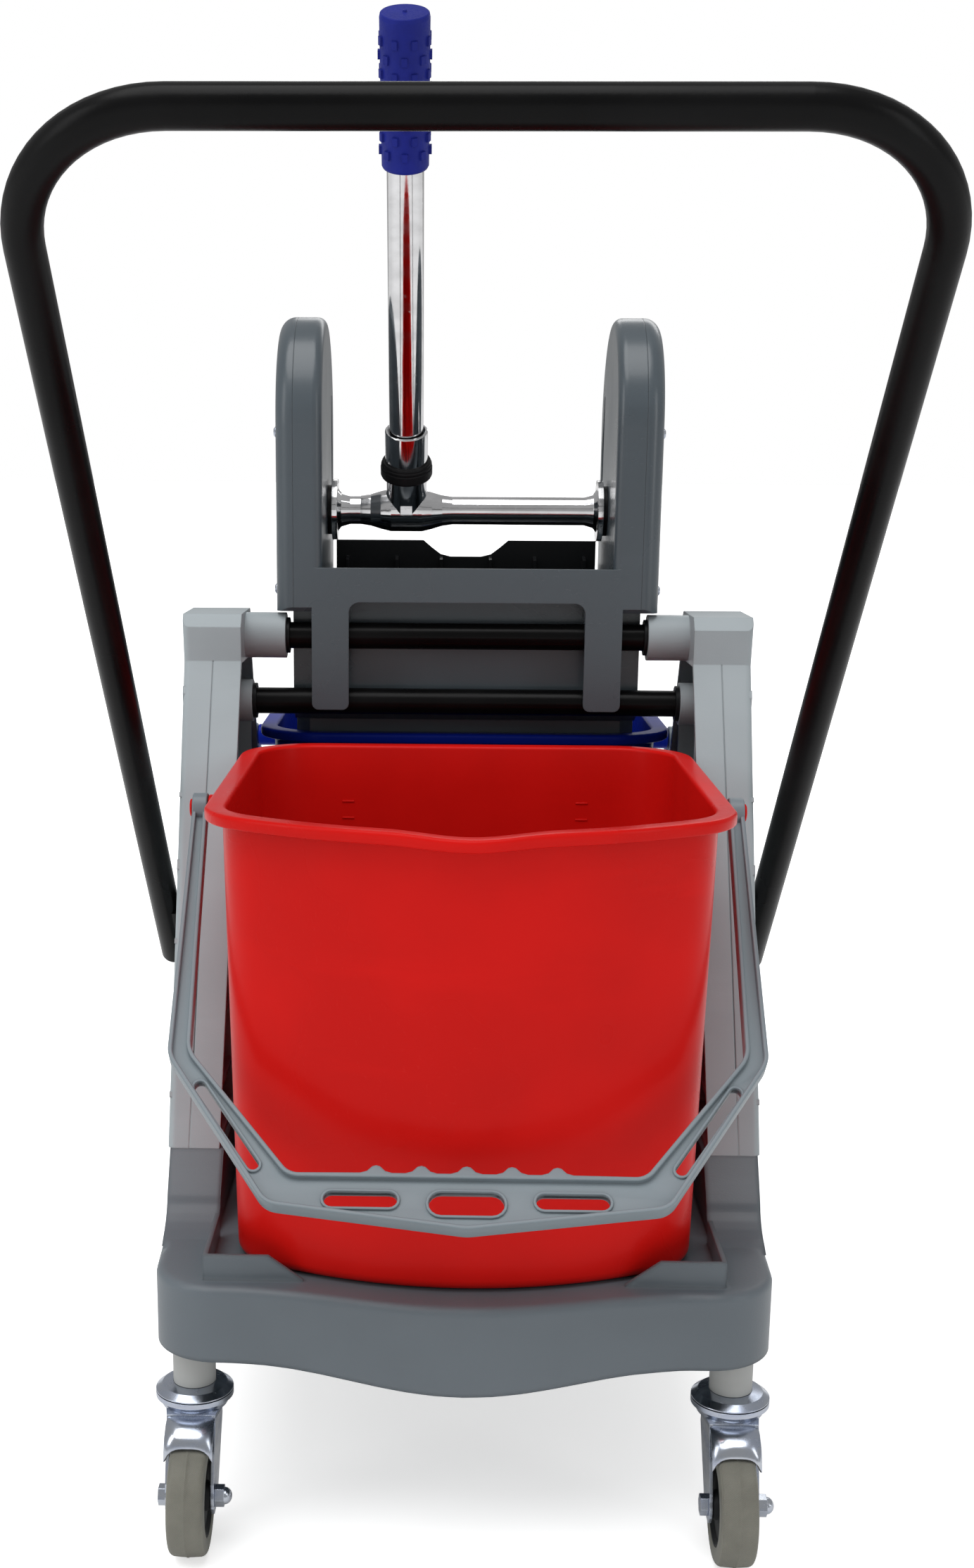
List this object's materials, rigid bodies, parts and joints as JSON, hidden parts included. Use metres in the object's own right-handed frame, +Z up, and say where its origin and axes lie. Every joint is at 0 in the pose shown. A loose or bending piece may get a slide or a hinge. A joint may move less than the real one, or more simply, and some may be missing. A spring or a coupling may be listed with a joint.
{
  "type": "mop bucket trolley with wringer",
  "caption": "Wheeled mop trolley with a red and a blue bucket, side frames, push handle, and a lever-worked side-press wringer over the rear bucket.",
  "frame": {"origin": "centre of the overall length and width, on the floor", "axes": "+Z up, +X to the right seen from the push-handle end, the push handle leans towards -Y"},
  "size_m": [0.494, 0.9074, 0.9853],
  "materials": {
    "chassis": "satin moulded, fine grain",
    "post": "satin moulded",
    "socket": "satin",
    "black_steel": "satin black powder coat",
    "chrome": "polished",
    "zinc": "bright zinc plating",
    "hub": "matt dark moulded",
    "tyre": "grey non-marking rubber",
    "red": "gloss moulded",
    "blue": "gloss moulded",
    "bail": "satin moulded",
    "wringer": "semi-gloss moulded",
    "press_black": "satin black",
    "nylon": "self-lubricating",
    "rubber": "matt",
    "grip": "soft blue grip"
  },
  "bodies": {
    "trolley": {"chassis_base": "chassis", "stem_sockets": "socket", "post_left": "post", "post_right": "post", "cross_tube_upper": "black_steel", "cross_tube_lower": "black_steel", "tube_collars": "nylon", "push_handle": "black_steel", "handle_spacers": "black_steel", "handle_bolts": "zinc", "caster_stem_fl": "zinc", "caster_stem_fr": "zinc", "caster_stem_rl": "zinc", "caster_stem_rr": "zinc"},
    "caster_fl": {"caster_fork_fl": "zinc", "caster_axle_fl": "zinc", "caster_nut_fl": "zinc"},
    "wheel_fl": {"wheel_hub_fl": "hub", "tyre_fl": "tyre"},
    "caster_fr": {"caster_fork_fr": "zinc", "caster_axle_fr": "zinc", "caster_nut_fr": "zinc"},
    "wheel_fr": {"wheel_hub_fr": "hub", "tyre_fr": "tyre"},
    "caster_rl": {"caster_fork_rl": "zinc", "caster_axle_rl": "zinc", "caster_nut_rl": "zinc"},
    "wheel_rl": {"wheel_hub_rl": "hub", "tyre_rl": "tyre"},
    "caster_rr": {"caster_fork_rr": "zinc", "caster_axle_rr": "zinc", "caster_nut_rr": "zinc"},
    "wheel_rr": {"wheel_hub_rr": "hub", "tyre_rr": "tyre"},
    "red_bucket": {"red_bucket": "red"},
    "red_bail": {"red_bail": "bail"},
    "blue_bucket": {"blue_bucket": "blue"},
    "blue_bail": {"blue_bail": "bail"},
    "wringer": {"wringer_body": "wringer", "ear_cover_left": "wringer", "ear_cover_right": "wringer", "cover_screws": "zinc", "pivot_caps": "nylon", "shaft_bushes": "nylon"},
    "lever": {"lever_yoke": "chrome", "lever_tube": "chrome", "lever_ring": "rubber", "lever_grip": "grip", "pinion_left": "press_black", "pinion_right": "press_black"},
    "press": {"press_plate": "press_black", "rack_left": "press_black", "rack_right": "press_black"}
  },
  "joints": [
    {"name": "swivel_fl", "type": "hinge", "parent": "trolley", "child": "caster_fl", "pos_m": [-0.175, -0.2796, 0.1005], "axis": [0, 0, 1], "continuous": true},
    {"name": "roll_fl", "type": "hinge", "parent": "caster_fl", "child": "wheel_fl", "pos_m": [-0.175, -0.3096, 0.039], "axis": [1, 0, 0], "continuous": true},
    {"name": "swivel_fr", "type": "hinge", "parent": "trolley", "child": "caster_fr", "pos_m": [0.175, -0.2796, 0.1005], "axis": [0, 0, 1], "continuous": true},
    {"name": "roll_fr", "type": "hinge", "parent": "caster_fr", "child": "wheel_fr", "pos_m": [0.175, -0.3096, 0.039], "axis": [1, 0, 0], "continuous": true},
    {"name": "swivel_rl", "type": "hinge", "parent": "trolley", "child": "caster_rl", "pos_m": [-0.175, 0.3524, 0.1005], "axis": [0, 0, 1], "continuous": true},
    {"name": "roll_rl", "type": "hinge", "parent": "caster_rl", "child": "wheel_rl", "pos_m": [-0.175, 0.3224, 0.039], "axis": [1, 0, 0], "continuous": true},
    {"name": "swivel_rr", "type": "hinge", "parent": "trolley", "child": "caster_rr", "pos_m": [0.175, 0.3524, 0.1005], "axis": [0, 0, 1], "continuous": true},
    {"name": "roll_rr", "type": "hinge", "parent": "caster_rr", "child": "wheel_rr", "pos_m": [0.175, 0.3224, 0.039], "axis": [1, 0, 0], "continuous": true},
    {"name": "red_bucket_lift", "type": "slide", "parent": "trolley", "child": "red_bucket", "axis": [0, -0.766, 0.6428], "range_m": [0, 0.35]},
    {"name": "red_bail_swing", "type": "hinge", "parent": "red_bucket", "child": "red_bail", "pos_m": [0, -0.1436, 0.462], "axis": [-1, 0, 0], "range_deg": [0, 132]},
    {"name": "blue_bucket_lift", "type": "slide", "parent": "trolley", "child": "blue_bucket", "axis": [0, 0, 1], "range_m": [0, 0.4]},
    {"name": "blue_bail_swing", "type": "hinge", "parent": "blue_bucket", "child": "blue_bail", "pos_m": [0, 0.2164, 0.462], "axis": [1, 0, 0], "range_deg": [0, 132]},
    {"name": "wringer_lift", "type": "slide", "parent": "blue_bucket", "child": "wringer", "axis": [0, 0, 1], "range_m": [0, 0.4]},
    {"name": "lever_turn", "type": "hinge", "parent": "wringer", "child": "lever", "pos_m": [0, 0.1194, 0.654], "axis": [-1, 0, 0], "range_deg": [0, 60]},
    {"name": "press_slide", "type": "slide", "parent": "wringer", "child": "press", "axis": [0, -1, 0], "range_m": [0, 0.0483]}
  ],
  "couplings": [
    {"joint": "press_slide", "follows": "lever_turn", "m_per_rad": 0.046}
  ]
}
